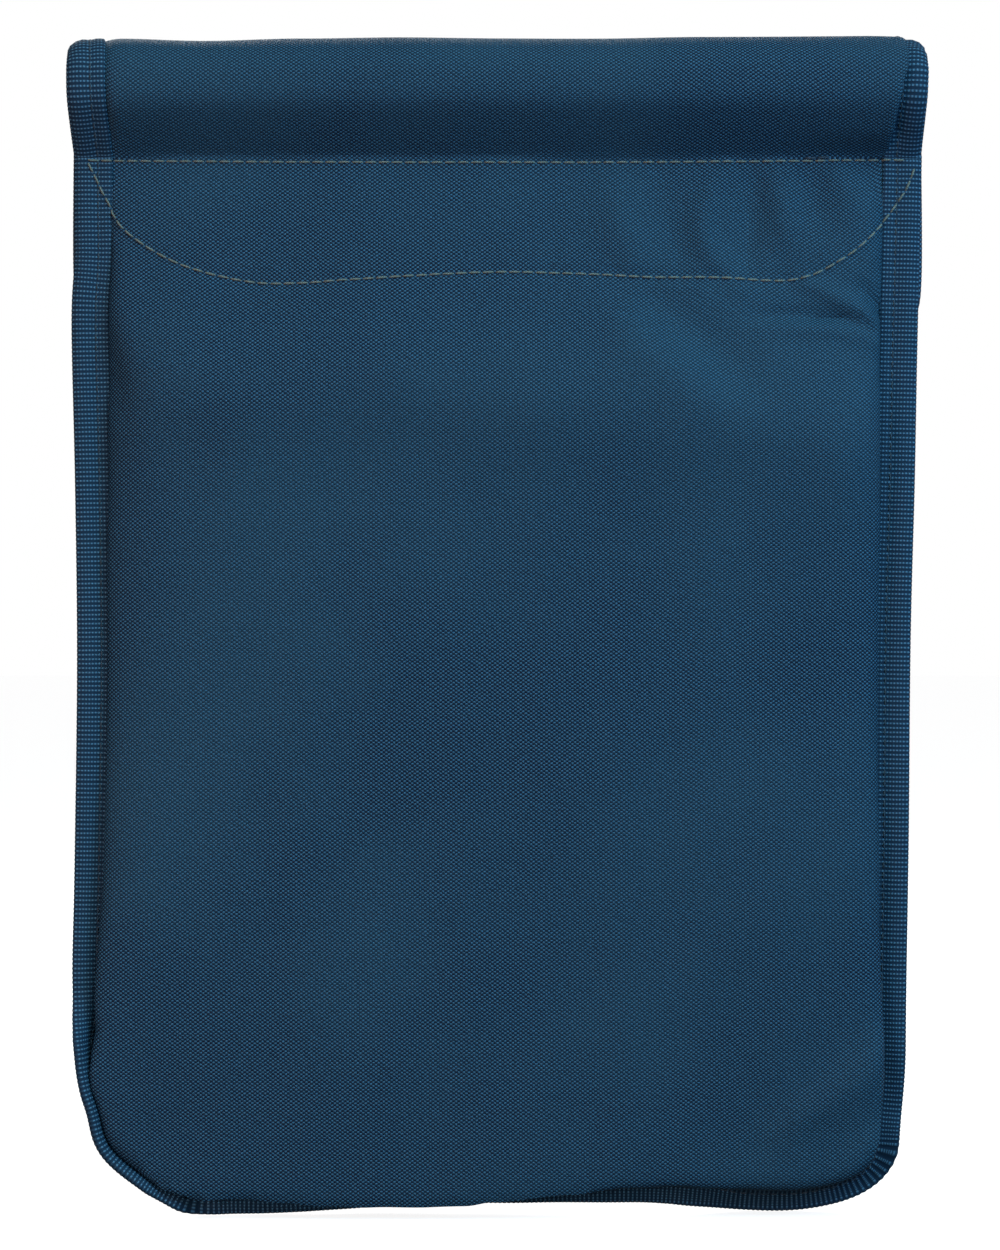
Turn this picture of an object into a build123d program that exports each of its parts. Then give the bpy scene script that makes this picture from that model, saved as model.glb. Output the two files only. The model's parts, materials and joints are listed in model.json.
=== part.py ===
from build123d import *
import os
from math import cos, radians, sin

# A cloth cash deposit bag: a flat pouch with bound edges, whose back panel runs up
# over a soft fold and comes down the front as a flap.  A swivelling steel staple on
# the front goes through a slotted plate in the flap and takes a padlock or a seal.
#
# Frame: X across the bag, +Y towards the front and the flap, +Z up.  The origin is
# under the middle of the bottom edge, in the plane of the side seams.

# Driving dimensions, in millimetres
bag_width_top = 279.4  # over the bindings, from the seam up
bag_width_bottom = 271.0
fold_height = 382.0  # middle line of the cloth at the crest of the fold
seam_height = 343.0  # where the pouch ends and the fold starts
mouth_height = 340.0  # top of the front panel
corner_radius = 30.0  # bottom corners of the bag
pouch_depth = 11.5  # how far the back panel swells from the seam plane
front_depth = 10.3  # how far the front panel swells
flap_end_height = 262.0
flap_corner_radius = 45.0

cloth = 0.8
facing = 0.6
tape = 0.7
tape_width = 12.7
thread = 0.3
thread_width = 0.5
ply_gap = 0.05  # between layers that are sewn together

# Fold, seen from the side
crest_y = 2.6
crest_radius = 13.1
belly_radius = 18.0
neck_angle = 50.0
crest_split = 2.2  # half the angle left open between pouch cloth and flap cloth

# Closure
staple_height = 288.0
eye_radius = 5.5
eye_bore_radius = 3.0
eye_thickness = 2.5
eye_rounding = 0.6
stem_radius = 2.0
stem_clearance = 0.06
cloth_hole_radius = 2.6
collar_radius = 3.2
collar_thickness = 1.0
tail_radius = 4.0
tail_thickness = 1.2
turning_gap = 0.3
plate = 1.0
base_plate_size = (26.0, 20.0)
base_rivet_pitch = (18.0, 13.0)
eyelet_plate_size = (34.0, 24.0)
eyelet_rivet_pitch = (27.0, 17.0)
eyelet_plate = 0.8
slot_size = (16.0, 8.0)
slot_margin = 0.5  # cloth cut back around the slot in the plates
slot_drop = 1.0  # the slot sits this much below the staple's axis
plate_corner_radius = 3.0
rivet_radius = 1.1
rivet_head_radius = 2.0
rivet_head = 0.6
rivet_clearance = 0.02
patch_size = (60.0, 25.0)
patch_spacing = 110.0
patch_thickness = 1.2
patch_corner_radius = 2.0
patch_stitch_inset = 2.5
stitch_inset = 8.0  # from the outside edge of the tape
yoke_margin = 3.0  # from the half-moon row to the facing's edge
seam_row_lift = 0.6  # the row under the fold, above the pouch's top
moon_side = 6.0  # from the bag's side to the half moon's ends
moon_corner = 320.0
moon_floor = 305.0

# Derived dimensions
BACK = -1
FRONT = 1
edge_fold = tape + ply_gap
ply_outer = ply_gap + cloth
binding_outer = ply_outer + ply_gap + tape
half_top = bag_width_top / 2
half_bottom = bag_width_bottom / 2
side_slope = (half_top - half_bottom) / seam_height
tray_inset = tape_width + 0.3
crown_inset = 30.0
crown_corner_radius = 10.0
crown_top = 302.0
trim_reach = 60.0  # long enough to cut through every layer
fold_half_width = half_top - edge_fold - ply_gap
mouth_binding_length = bag_width_bottom - 2 * tray_inset - 6.0

crest_centre = (crest_y, fold_height - crest_radius)
belly_centre = (crest_y - crest_radius + belly_radius, crest_centre[1])
neck_cos = cos(radians(neck_angle))
neck_sin = sin(radians(neck_angle))
neck_y = -(ply_gap + cloth / 2)
neck_radius = (belly_radius * neck_cos - belly_centre[0] + neck_y) / (1 - neck_cos)
neck_centre = (
    belly_centre[0] - (belly_radius + neck_radius) * neck_cos,
    belly_centre[1] - (belly_radius + neck_radius) * neck_sin,
)

# Offsets of the layers from the middle line of the fold's cloth, outwards positive
cloth_out = cloth / 2
cloth_in = -cloth / 2
facing_out = cloth_in - ply_gap
facing_in = facing_out - facing
tape_out = cloth_out + ply_gap + tape
tape_in = facing_in - ply_gap - tape

front_face = ply_outer + front_depth
front_back = front_face - cloth
flap_middle = crest_y + crest_radius
flap_front = flap_middle + cloth_out
flap_back = flap_middle + facing_in
slot_height = staple_height - slot_drop
patch_height = staple_height
patch_face = front_face + ply_gap + patch_thickness
base_inner = front_back - ply_gap - plate
base_outer = front_face + ply_gap + plate
eyelet_inner = flap_back - ply_gap - eyelet_plate
eyelet_outer = flap_front + ply_gap + eyelet_plate
tail_y = base_inner - turning_gap - tail_thickness
collar_y = base_outer + turning_gap
eye_y = eyelet_outer + turning_gap + eye_radius
stem_end = eye_y - eye_bore_radius - turning_gap


def outline(inset, top):
    """The bag's outline, inset from its outside edge and closed at the height top."""
    low = half_bottom + side_slope * inset - inset
    high = half_bottom + side_slope * top - inset
    Polygon((-low, inset), (low, inset), (high, top), (-high, top), align=None)
    radius = max(corner_radius - inset, crown_corner_radius)
    fillet(vertices().group_by(Axis.Y)[0], radius)


def slab(side, near, far, inset, top, mode=Mode.ADD):
    """A flat layer of the outline, from near to far out of the seam plane."""
    with BuildSketch(Plane.XZ.offset(-side * near)) as layer:
        outline(inset, top)
    extrude(layer.sketch, amount=-side * (far - near), mode=mode)


def tray(side, depth, lift, rim_top, top, mode=Mode.ADD):
    """The swollen part of a panel, its surface moved out by lift from the cloth's face."""
    with BuildSketch(Plane.XZ.offset(-side * (ply_outer + lift))) as rim:
        outline(tray_inset, rim_top)
    with BuildSketch(Plane.XZ.offset(-side * (ply_outer + depth + lift))) as crown:
        outline(crown_inset, top)
    loft([rim.sketch, crown.sketch], mode=mode)


def back_tray(lift, mode=Mode.ADD):
    """The back panel's swelling, which dies out at the seam under the fold."""
    tray(BACK, pouch_depth, lift, seam_height, crown_top, mode)


def front_tray(lift, mode=Mode.ADD):
    """The front panel's swelling, which stays open past the mouth."""
    tray(FRONT, front_depth, lift, seam_height + corner_radius, seam_height + corner_radius, mode)


def fold_layer(outer, inner, half_width, foot=seam_height, mode=Mode.ADD):
    """A layer of the fold's back half, between two offsets from its middle line."""
    with BuildSketch(Plane.YZ) as layer:
        with BuildLine():
            ends = []
            for edge in (outer, inner):
                drop = (neck_centre[0] + neck_radius - edge, foot)
                start = Line(drop, (drop[0], neck_centre[1]))
                CenterArc(neck_centre, neck_radius - edge, 0, neck_angle)
                CenterArc(belly_centre, belly_radius + edge, 180, neck_angle)
                crest = CenterArc(crest_centre, crest_radius + edge, 180, crest_split - 90)
                ends.append((start @ 0, crest @ 1))
            Line(ends[0][0], ends[1][0])
            Line(ends[0][1], ends[1][1])
        make_face()
    extrude(layer.sketch, amount=half_width, both=True, mode=mode)


def flap_layer(outer, inner, half_width, mode=Mode.ADD):
    """A layer of the flap, from the crest of the fold down past its end."""
    with BuildSketch(Plane.YZ) as layer:
        with BuildLine():
            ends = []
            for edge in (outer, inner):
                crest = CenterArc(crest_centre, crest_radius + edge, 90 - crest_split, crest_split - 90)
                fall = Line(crest @ 1, (flap_middle + edge, flap_end_height - corner_radius))
                ends.append((crest @ 0, fall @ 1))
            Line(ends[0][0], ends[1][0])
            Line(ends[0][1], ends[1][1])
        make_face()
    extrude(layer.sketch, amount=half_width, both=True, mode=mode)


def flap_outline(inset):
    """The flap's outline, inset from its outside edge and open past the crest."""
    half = half_top - inset
    low = flap_end_height + inset
    high = fold_height + corner_radius
    Polygon((-half, low), (half, low), (half, high), (-half, high), align=None)
    fillet(vertices().group_by(Axis.Y)[0], flap_corner_radius - inset)


def trim_to_flap(inset, mode=Mode.INTERSECT):
    """Keep, or cut away, what lies inside the flap's outline."""
    with BuildSketch(Plane.XZ) as shape:
        flap_outline(inset)
    extrude(shape.sketch, amount=trim_reach, both=True, mode=mode)


def trim_below(height):
    """Keep what lies below a height."""
    with BuildSketch(Plane.XZ) as shape:
        with Locations((0, height)):
            Rectangle(2 * bag_width_top, 2 * height, align=(Align.CENTER, Align.MAX))
    extrude(shape.sketch, amount=trim_reach, both=True, mode=Mode.INTERSECT)


def half_moon(lower):
    """The yoke's lower edge, from side to side; lower moves it down."""
    side = half_top - moon_side
    Spline(
        (-side, seam_height - lower),
        (-side + 13.0, moon_corner - lower),
        (-side + 50.0, moon_floor - lower),
        (0, moon_floor - lower),
        (side - 50.0, moon_floor - lower),
        (side - 13.0, moon_corner - lower),
        (side, seam_height - lower),
    )


def trim_to_half_moon(upper, lower):
    """Keep what lies between two heights of the half moon's curve."""
    side = half_top - moon_side
    with BuildSketch(Plane.XZ) as shape:
        with BuildLine():
            half_moon(lower)
            if upper is None:
                Polyline((-side, seam_height - lower), (-side, seam_height), (side, seam_height),
                         (side, seam_height - lower))
            else:
                half_moon(upper)
                Line((-side, seam_height - lower), (-side, seam_height - upper))
                Line((side, seam_height - lower), (side, seam_height - upper))
        make_face()
    extrude(shape.sketch, amount=trim_reach, both=True, mode=Mode.INTERSECT)


def front_plane(height, y):
    """A sketch plane that faces the front, centred at a height on the middle line."""
    return Plane(origin=(0, y, height), x_dir=(1, 0, 0), z_dir=(0, 1, 0))


def drilled_plate(size, pitch):
    """A closure plate's face, with its four rivet holes."""
    RectangleRounded(*size, plate_corner_radius)
    with GridLocations(*pitch, 2, 2):
        Circle(rivet_radius + rivet_clearance, mode=Mode.SUBTRACT)


def rivets(height, pitch, inner, outer):
    """Four rivets through a stack from inner to outer, with a head on each side."""
    shank = (rivet_radius, inner - rivet_clearance, outer + rivet_clearance)
    inner_head = (rivet_head_radius, inner - rivet_clearance - rivet_head, inner - rivet_clearance)
    outer_head = (rivet_head_radius, outer + rivet_clearance, outer + rivet_clearance + rivet_head)
    for radius, near, far in (shank, inner_head, outer_head):
        with BuildSketch(front_plane(height, near)) as disc:
            with GridLocations(*pitch, 2, 2):
                Circle(radius)
        extrude(disc.sketch, amount=far - near)


def cut_rivet_holes(height, pitch):
    """Holes for four rivets, through every layer in front of the seam plane."""
    with BuildSketch(front_plane(height, ply_outer)) as holes:
        with GridLocations(*pitch, 2, 2):
            Circle(rivet_radius + rivet_clearance)
    extrude(holes.sketch, amount=trim_reach, mode=Mode.SUBTRACT)


def cut_slot(margin):
    """The hole in the flap's cloth behind the slotted plates."""
    with BuildSketch(front_plane(slot_height, ply_outer)) as hole:
        SlotOverall(slot_size[0] + 2 * margin, slot_size[1] + 2 * margin)
    extrude(hole.sketch, amount=trim_reach, mode=Mode.SUBTRACT)


def patches(size, mode=Mode.ADD):
    """The outline of the two hook or loop patches."""
    with GridLocations(patch_spacing, 0, 2, 1):
        RectangleRounded(*size, patch_corner_radius, mode=mode)


def patch_rows():
    """The row of stitching around each patch."""
    width = patch_size[0] - 2 * patch_stitch_inset
    height = patch_size[1] - 2 * patch_stitch_inset
    patches((width, height))
    patches((width - 2 * thread_width, height - 2 * thread_width), mode=Mode.SUBTRACT)


def stem_disc(radius, near, far):
    """A round stretch of the turn staple, along its axis."""
    with BuildSketch(front_plane(staple_height, near)) as disc:
        Circle(radius)
    extrude(disc.sketch, amount=far - near)


# Pouch: cloth panels --------------------------------------------------------

with BuildPart() as back_panel:
    slab(BACK, ply_gap, ply_outer, edge_fold, seam_height)
    back_tray(0)
    back_tray(-cloth, mode=Mode.SUBTRACT)
    fold_layer(cloth_out, cloth_in, fold_half_width)
back_panel.part.label = "back_panel"

with BuildPart() as front_panel:
    slab(FRONT, ply_gap, ply_outer, edge_fold, mouth_height)
    front_tray(0)
    front_tray(-cloth, mode=Mode.SUBTRACT)
    trim_below(mouth_height)
    with BuildSketch(front_plane(staple_height, ply_outer)):
        Circle(cloth_hole_radius)
    extrude(amount=trim_reach, mode=Mode.SUBTRACT)
    cut_rivet_holes(staple_height, base_rivet_pitch)
front_panel.part.label = "front_panel"

# The facing backs the fold and ends in a half moon inside the back panel
with BuildPart() as yoke_facing:
    back_tray(-cloth - ply_gap)
    back_tray(-cloth - ply_gap - facing, mode=Mode.SUBTRACT)
    trim_to_half_moon(None, yoke_margin)
    fold_layer(facing_out, facing_in, fold_half_width, foot=mouth_height + facing)
yoke_facing.part.label = "yoke_facing"

# Pouch: bindings ------------------------------------------------------------

with BuildPart() as edge_binding:
    slab(BACK, -binding_outer, binding_outer, 0, seam_height - ply_gap)
    slab(BACK, -ply_outer - ply_gap, ply_outer + ply_gap, edge_fold, fold_height, mode=Mode.SUBTRACT)
    slab(BACK, -trim_reach, trim_reach, tape_width, fold_height, mode=Mode.SUBTRACT)
edge_binding.part.label = "edge_binding"

with BuildPart() as fold_binding:
    fold_layer(tape_out, tape_in, half_top)
    fold_layer(cloth_out + ply_gap, facing_in - ply_gap, half_top - tape, mode=Mode.SUBTRACT)
    with BuildSketch(Plane.XZ):
        with Locations((0, fold_height)):
            Rectangle(bag_width_top - 2 * tape_width, bag_width_top)
    extrude(amount=trim_reach, both=True, mode=Mode.SUBTRACT)
fold_binding.part.label = "fold_binding"

with BuildPart() as mouth_pocket:
    front_tray(ply_gap)
    front_tray(-cloth - ply_gap, mode=Mode.SUBTRACT)
    trim_below(mouth_height + ply_gap)

with BuildPart() as mouth_binding:
    front_tray(ply_gap + tape)
    front_tray(-cloth - ply_gap - tape, mode=Mode.SUBTRACT)
    with BuildSketch(Plane.XZ):
        with Locations((0, mouth_height + edge_fold)):
            Rectangle(mouth_binding_length, tape_width, align=(Align.CENTER, Align.MAX))
    extrude(amount=trim_reach, both=True, mode=Mode.INTERSECT)
    add(mouth_pocket.part, mode=Mode.SUBTRACT)
mouth_binding.part.label = "mouth_binding"

# Pouch: stitching -----------------------------------------------------------

# The contrast thread: a row across the bag under the fold, and the half moon below it
with BuildPart() as yoke_thread:
    back_tray(ply_gap + thread)
    back_tray(ply_gap, mode=Mode.SUBTRACT)
    trim_to_half_moon(0, thread_width)
    with Locations((0, -ply_outer - ply_gap - thread / 2, seam_height + seam_row_lift)):
        Box(bag_width_top - 2 * tray_inset, thread, thread_width)
    row_end = half_top - (moon_side + tape_width) / 2
    with Locations(
        (-row_end, -binding_outer - 2 * ply_gap - 3 * thread / 2, seam_height + seam_row_lift),
        (row_end, -binding_outer - 2 * ply_gap - 3 * thread / 2, seam_height + seam_row_lift),
    ):
        Box(tape_width - moon_side, thread, thread_width)
yoke_thread.part.label = "yoke_thread"

with BuildPart() as binding_thread:
    for side in (BACK, FRONT):
        slab(side, binding_outer + ply_gap, binding_outer + ply_gap + thread, stitch_inset, seam_height)
    slab(BACK, -trim_reach, trim_reach, stitch_inset + thread_width, fold_height, mode=Mode.SUBTRACT)
    fold_layer(tape_out + ply_gap + thread, tape_out + ply_gap, half_top - stitch_inset)
    with BuildSketch(Plane.XZ):
        with Locations((0, seam_height)):
            free_width = bag_width_top - 2 * (stitch_inset + thread_width)
            Rectangle(free_width, fold_height, align=(Align.CENTER, Align.MIN))
    extrude(amount=trim_reach, both=True, mode=Mode.SUBTRACT)
binding_thread.part.label = "binding_thread"

with BuildPart() as mouth_thread:
    front_tray(ply_gap + tape + ply_gap + thread)
    front_tray(ply_gap + tape + ply_gap, mode=Mode.SUBTRACT)
    with BuildSketch(Plane.XZ):
        with Locations((0, mouth_height + edge_fold - stitch_inset)):
            Rectangle(mouth_binding_length, thread_width)
    extrude(amount=trim_reach, both=True, mode=Mode.INTERSECT)
mouth_thread.part.label = "mouth_thread"

# Pouch: closure -------------------------------------------------------------

with BuildPart() as loop_patches:
    with BuildSketch(front_plane(patch_height, front_face + ply_gap)):
        patches(patch_size)
    extrude(amount=patch_thickness)
loop_patches.part.label = "loop_patches"

with BuildPart() as loop_thread:
    with BuildSketch(front_plane(patch_height, patch_face + ply_gap)):
        patch_rows()
    extrude(amount=thread)
loop_thread.part.label = "loop_thread"

with BuildPart() as staple_base:
    with BuildSketch(front_plane(staple_height, base_outer - plate)):
        drilled_plate(base_plate_size, base_rivet_pitch)
        Circle(stem_radius + stem_clearance, mode=Mode.SUBTRACT)
    extrude(amount=plate)
staple_base.part.label = "staple_base"

with BuildPart() as staple_backing:
    with BuildSketch(front_plane(staple_height, base_inner)):
        drilled_plate(base_plate_size, base_rivet_pitch)
        Circle(stem_radius + stem_clearance, mode=Mode.SUBTRACT)
    extrude(amount=plate)
staple_backing.part.label = "staple_backing"

with BuildPart() as staple_rivets:
    rivets(staple_height, base_rivet_pitch, base_inner, base_outer)
staple_rivets.part.label = "staple_rivets"

# Flap -----------------------------------------------------------------------

with BuildPart() as flap_panel:
    flap_layer(cloth_out, cloth_in, fold_half_width)
    trim_to_flap(edge_fold)
    cut_slot(slot_margin)
    cut_rivet_holes(slot_height, eyelet_rivet_pitch)
flap_panel.part.label = "flap_panel"

with BuildPart() as flap_facing:
    flap_layer(facing_out, facing_in, fold_half_width)
    trim_to_flap(edge_fold)
    cut_slot(slot_margin)
    cut_rivet_holes(slot_height, eyelet_rivet_pitch)
flap_facing.part.label = "flap_facing"

with BuildPart() as flap_pocket:
    flap_layer(cloth_out + ply_gap, facing_in - ply_gap, half_top)
    trim_to_flap(tape)

with BuildPart() as flap_binding:
    flap_layer(tape_out, tape_in, half_top)
    trim_to_flap(0)
    add(flap_pocket.part, mode=Mode.SUBTRACT)
    trim_to_flap(tape_width, mode=Mode.SUBTRACT)
flap_binding.part.label = "flap_binding"

with BuildPart() as flap_thread:
    flap_layer(tape_out + ply_gap + thread, tape_out + ply_gap, half_top)
    trim_to_flap(stitch_inset)
    trim_to_flap(stitch_inset + thread_width, mode=Mode.SUBTRACT)
flap_thread.part.label = "flap_thread"

with BuildPart() as hook_patches:
    with BuildSketch(front_plane(patch_height, flap_back - ply_gap)):
        patches(patch_size)
    extrude(amount=-patch_thickness)
hook_patches.part.label = "hook_patches"

with BuildPart() as hook_thread:
    with BuildSketch(front_plane(patch_height, flap_front + ply_gap)):
        patch_rows()
    extrude(amount=thread)
hook_thread.part.label = "hook_thread"

with BuildPart() as eyelet_face:
    with BuildSketch(front_plane(slot_height, eyelet_outer)):
        drilled_plate(eyelet_plate_size, eyelet_rivet_pitch)
        SlotOverall(*slot_size, mode=Mode.SUBTRACT)
    extrude(amount=-eyelet_plate)
eyelet_face.part.label = "eyelet_face"

with BuildPart() as eyelet_back:
    with BuildSketch(front_plane(slot_height, eyelet_inner)):
        drilled_plate(eyelet_plate_size, eyelet_rivet_pitch)
        SlotOverall(*slot_size, mode=Mode.SUBTRACT)
    extrude(amount=eyelet_plate)
eyelet_back.part.label = "eyelet_back"

with BuildPart() as eyelet_rivets:
    rivets(slot_height, eyelet_rivet_pitch, eyelet_inner, eyelet_outer)
eyelet_rivets.part.label = "eyelet_rivets"

# Turn staple ----------------------------------------------------------------

with BuildPart() as turn_staple:
    with BuildSketch(Plane.XY.offset(staple_height - eye_thickness / 2)):
        with Locations((0, eye_y)):
            Circle(eye_radius)
    extrude(amount=eye_thickness)
    fillet(edges().filter_by(GeomType.CIRCLE), eye_rounding)
    stem_disc(stem_radius, tail_y, stem_end)
    stem_disc(tail_radius, tail_y, tail_y + tail_thickness)
    stem_disc(collar_radius, collar_y, collar_y + collar_thickness)
    with Locations((0, eye_y, staple_height)):
        Hole(eye_bore_radius)
turn_staple.part.label = "turn_staple"

sub_parts = (
    back_panel, front_panel, yoke_facing, edge_binding, fold_binding, mouth_binding,
    yoke_thread, binding_thread, mouth_thread, loop_patches, loop_thread,
    staple_base, staple_backing, staple_rivets, flap_panel, flap_facing, flap_binding,
    flap_thread, hook_patches, hook_thread, eyelet_face, eyelet_back, eyelet_rivets,
    turn_staple,
)
os.makedirs("parts", exist_ok=True)
for sub_part in sub_parts:
    export_step(sub_part.part, f"parts/{sub_part.part.label}.step")
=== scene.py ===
import json
import math

import bpy
import numpy as np
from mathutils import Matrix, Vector
from mathutils.bvhtree import BVHTree
from mathutils.kdtree import KDTree


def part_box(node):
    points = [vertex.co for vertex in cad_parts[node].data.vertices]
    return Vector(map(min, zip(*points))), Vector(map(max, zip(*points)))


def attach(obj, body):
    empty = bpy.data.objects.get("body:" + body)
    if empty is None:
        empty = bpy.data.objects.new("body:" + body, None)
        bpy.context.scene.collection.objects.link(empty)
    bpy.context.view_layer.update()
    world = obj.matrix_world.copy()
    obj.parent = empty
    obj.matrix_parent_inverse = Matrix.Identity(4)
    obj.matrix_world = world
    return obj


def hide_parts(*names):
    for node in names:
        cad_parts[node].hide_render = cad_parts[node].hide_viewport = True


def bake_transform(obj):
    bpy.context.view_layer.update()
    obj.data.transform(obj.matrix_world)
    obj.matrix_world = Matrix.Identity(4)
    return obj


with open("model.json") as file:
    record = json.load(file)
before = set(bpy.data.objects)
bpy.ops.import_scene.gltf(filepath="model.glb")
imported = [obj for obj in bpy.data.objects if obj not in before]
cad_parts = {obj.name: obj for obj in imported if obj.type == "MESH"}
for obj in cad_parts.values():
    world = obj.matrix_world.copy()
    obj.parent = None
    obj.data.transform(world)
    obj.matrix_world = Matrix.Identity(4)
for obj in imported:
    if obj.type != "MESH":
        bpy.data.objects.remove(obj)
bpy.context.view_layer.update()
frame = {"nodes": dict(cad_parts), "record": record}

# A cloth cash deposit bag, standing on its bottom edge with its back to the camera.
# Shapes are worked out in millimetres, in the frame's axes: X across the bag, +Y to
# the flap's side, +Z up.  Meshes are written in metres.

MM = 0.001


# ---- sizes from the frame

def node_box(name):
    """A CAD node's lowest and highest corners, in millimetres."""
    low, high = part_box(name)
    return np.array(low) / MM, np.array(high) / MM


joints = {joint["name"]: joint for joint in frame["record"]["behaviour"]["joints"]}
hinge = np.array(joints["flap_fold"]["pos_m"]) / MM
staple_axis = np.array(joints["staple_turn"]["pos_m"]) / MM

CLOTH = 0.8  # thickness
FACING = 0.55  # thickness
SKIN = 0.7  # the thickness of a sheet's mesh, a little under the cloth's so that layers stay apart
TAPE_WIDTH = 12.7
STITCH_OUT = 4.7  # the bindings' stitch row, from the tape's inner edge
SEAM_TOP = node_box("edge_binding")[1][2]
FOLD_TOP = node_box("back_panel")[1][2]
HALF = node_box("edge_binding")[1][0]
BACK_FACE = -node_box("back_panel")[0][1]
FRONT_FACE = node_box("front_panel")[1][1]
MOUTH_TOP = node_box("front_panel")[1][2]
FLAP_FACE = node_box("flap_panel")[1][1]
FLAP_END = node_box("flap_binding")[0][2]
PLY = 0.85  # the cloth's face, from the seam plane, where both panels are sewn together

CREST_Z = FOLD_TOP - (FLAP_FACE - hinge[1])  # where the flap's straight fall starts
STEP = 0.48  # the spacing of points along edges and tapes
X_AXIS = np.array([1.0, 0, 0])


# ---- curves and numbers

def lengths(path):
    """The distance along a path to each of its points."""
    steps = np.linalg.norm(np.diff(path, axis=0), axis=1)
    return np.concatenate([[0.0], np.cumsum(steps)])


def vectors(*parts):
    """Arrays or numbers side by side as vectors, stretched to one shape."""
    return np.stack(np.broadcast_arrays(*parts), axis=-1)


def sampled(values, s, where):
    """Vectors that are given at places s, read at other places."""
    return np.stack([np.interp(where, s, column) for column in values.T], axis=-1)


def at_lengths(path, where):
    """The points of a path at the given distances along it."""
    return sampled(path, lengths(path), where)


def at_shares(path, shares):
    """The points of a path at shares of its length."""
    return at_lengths(path, shares * lengths(path)[-1])


def smooth_path(points, step):
    """A smooth curve through points, as evenly spaced points about step apart."""
    p = np.array(points, float)
    p = np.vstack([2 * p[0] - p[1], p, 2 * p[-1] - p[-2]])
    t = np.linspace(0, 1, 24, endpoint=False)[:, None]  # places within each stretch
    parts = []
    for a, b, c, d in zip(p, p[1:], p[2:], p[3:]):
        cubic = 3 * b - a - 3 * c + d
        square = 2 * a - 5 * b + 4 * c - d
        parts.append(0.5 * (2 * b + (c - a) * t + square * t**2 + cubic * t**3))
    parts.append(p[-2:-1])
    curve = np.vstack(parts)
    total = lengths(curve)[-1]
    return at_lengths(curve, np.linspace(0, total, int(total / step) + 1))


def keyed(s, keys):
    """A value that eases from key to key; keys are (place, value) pairs in order."""
    places, values = np.array(keys, float).T
    i = np.clip(np.searchsorted(places, s) - 1, 0, len(places) - 2)
    t = np.clip((s - places[i]) / (places[i + 1] - places[i]), 0, 1)
    return values[i] + (values[i + 1] - values[i]) * t * t * (3 - 2 * t)


def bell(x):
    """A smooth bump, 1 at 0."""
    return np.exp(-(x**2))


def unit(v):
    """Vectors scaled to length 1."""
    return v / np.maximum(np.linalg.norm(v, axis=-1, keepdims=True), 1e-9)


def inward(path, turn):
    """The unit normals of a flat path, turned to its left (1) or its right (-1)."""
    t = unit(np.gradient(path, axis=0))
    return turn * vectors(-t[:, 1], t[:, 0])


def ripple(a, b, waves):
    """A sum of fixed sine waves over two coordinates; waves are (height, along a, along b, phase)."""
    total = np.zeros_like(a)
    for height, wa, wb, phase in waves:
        total += height * np.sin(2 * math.pi * (a / wa + b / wb) + phase)
    return total


# ---- meshes

def new_piece(name, points, faces, material, weave=None):
    """A mesh object from millimetre points, with its cloth coordinates kept in metres."""
    mesh = bpy.data.meshes.new(name)
    mesh.from_pydata((np.asarray(points).reshape(-1, 3) * MM).tolist(), [], [list(f) for f in faces])
    if weave is not None:
        values = (np.asarray(weave).reshape(-1, 3) * MM).astype(np.float32)
        mesh.attributes.new("weave", "FLOAT_VECTOR", "POINT").data.foreach_set("vector", values.ravel())
    mesh.polygons.foreach_set("use_smooth", [True] * len(mesh.polygons))
    mesh.set_sharp_from_angle(angle=math.radians(50))
    mesh.materials.append(material)
    piece = bpy.data.objects.new(name, mesh)
    bpy.context.scene.collection.objects.link(piece)
    return piece


def grid_normals(points):
    """The unit normals of a grid of points, rows first."""
    across = np.gradient(points, axis=1)
    along = np.gradient(points, axis=0)
    return unit(np.cross(across, along))


def slab(name, points, inner, weave, side, material, kept=None):
    """A closed slab between two grids of points; side is 1 where the first grid's normal faces out.

    kept says which of the grid's cells are there; the slab gets walls round every edge and hole.
    """
    rows, columns = points.shape[:2]
    flat = np.concatenate([weave, np.zeros((rows, columns, 1))], axis=2)
    count = rows * columns
    index = np.arange(count).reshape(rows, columns)
    quads = vectors(index[:-1, :-1], index[:-1, 1:], index[1:, 1:], index[1:, :-1]).reshape(-1, 4)
    if kept is not None:
        quads = quads[kept.ravel()]
    edges = vectors(quads, np.roll(quads, -1, 1)).reshape(-1, 2)
    open_edge = ~np.isin(edges[:, 0] * count + edges[:, 1], edges[:, 1] * count + edges[:, 0])
    near, far = edges[open_edge].T
    walls = vectors(far, near, near + count, far + count)
    faces = np.concatenate([quads, quads[:, ::-1] + count, walls])
    if side < 0:
        faces = faces[:, ::-1]
    used, faces = np.unique(faces, return_inverse=True)
    both = np.concatenate([points.reshape(-1, 3), inner.reshape(-1, 3)])[used]
    shared = np.concatenate([flat, flat]).reshape(-1, 3)[used]
    return new_piece(name, both, faces.reshape(-1, 4).tolist(), material, shared)


def sheet_piece(name, points, weave, thickness, side, material, kept=None):
    """A closed sheet of cloth under a grid of points on its face."""
    inner = points - side * thickness * grid_normals(points)
    return slab(name, points, inner, weave, side, material, kept)


def tube_faces(rings, around, first=0):
    """The quads of a closed tube of rings, with its two ends capped."""
    index = first + np.arange(rings * around).reshape(rings, around)
    near, far = index[:-1], index[1:]
    quads = vectors(near, np.roll(near, -1, 1), np.roll(far, -1, 1), far).reshape(-1, 4)
    return quads.tolist() + [index[0][::-1].tolist(), index[-1].tolist()]


# ---- materials

# Distances between threads, in metres, but the tape's ribs in millimetres
WEFT_PITCH = 0.00083
WARP_PITCH = 0.00062
PICK_PITCH = 0.00055
PLY_PITCH = 0.00028
THREAD_WANDER = 0.0004
WEAR = 0.25  # how strongly the cloth's tone drifts
RIB_PITCH = 1.45


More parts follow.
